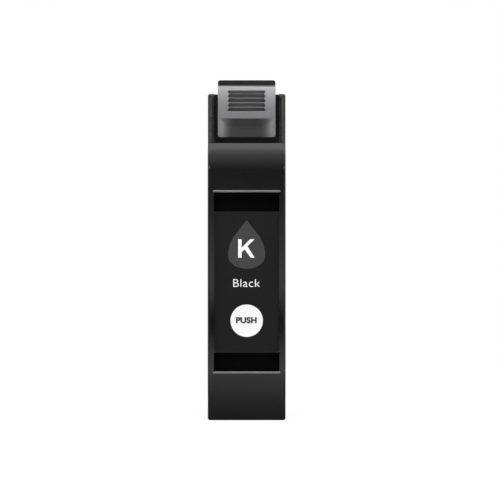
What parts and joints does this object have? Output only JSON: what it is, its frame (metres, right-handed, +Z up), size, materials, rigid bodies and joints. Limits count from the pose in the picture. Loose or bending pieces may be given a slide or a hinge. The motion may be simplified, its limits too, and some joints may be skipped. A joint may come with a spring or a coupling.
{
  "type": "inkjet ink cartridge",
  "caption": "Slim upright inkjet ink tank with a recessed front label, a sprung grip latch on top, a valved ink outlet and a memory chip on its rear face.",
  "frame": {"origin": "under the middle of the cartridge's box, on the surface that it stands on", "axes": "+Z up along the cartridge's length, towards the latch; -Y out of the label face; +Y out of the ink outlet; +X towards the side lid"},
  "size_m": [0.018, 0.0522, 0.0786],
  "materials": {
    "black_gloss": "gloss",
    "black_satin": "satin",
    "latch_black": "satin",
    "latch_grey": "satin",
    "label_film": "satin",
    "print_grey": "satin",
    "print_white": "satin",
    "foam": "matte",
    "felt": "matte",
    "mesh_steel": "satin",
    "spring_steel": "satin",
    "seal_rubber": "matte",
    "natural_plastic": "satin",
    "board_green": "gloss",
    "gold": "polished",
    "die_coat": "satin",
    "clear_plastic": "gloss",
    "vent_foil": "gloss",
    "membrane": "matte"
  },
  "bodies": {
    "cartridge": {"tank": "black_satin", "front_cover": "black_gloss", "side_lid": "black_satin", "vent_film": "vent_foil", "vent_membrane": "membrane", "fill_plug": "seal_rubber", "foam_block": "foam", "valve_housing": "black_satin", "outlet_seal": "seal_rubber", "seal_retainer": "natural_plastic", "outlet_spring": "spring_steel", "outlet_filter": "mesh_steel", "outlet_wick": "felt", "chip_board": "board_green", "chip_contacts": "gold", "chip_die": "die_coat", "level_prism": "clear_plastic", "label": "label_film", "label_drop": "print_grey", "push_spot": "print_white", "latch_spring": "spring_steel"},
    "latch": {"latch_arm": "latch_black", "latch_grip": "latch_grey"},
    "valve": {"outlet_poppet": "natural_plastic"}
  },
  "joints": [
    {"name": "latch_hinge", "type": "hinge", "parent": "cartridge", "child": "latch", "pos_m": [0, -0.00387, 0.07345], "axis": [1, 0, 0], "range_deg": [0, 3.2], "stiffness_Nm_per_rad": 0.3, "springref_deg": -5.73, "deforming": ["latch_spring"]},
    {"name": "valve_slide", "type": "slide", "parent": "cartridge", "child": "valve", "axis": [0, -1, 0], "range_m": [0, 0.002], "stiffness_N_per_m": 120, "springref_m": -0.003, "deforming": ["outlet_spring"]}
  ]
}
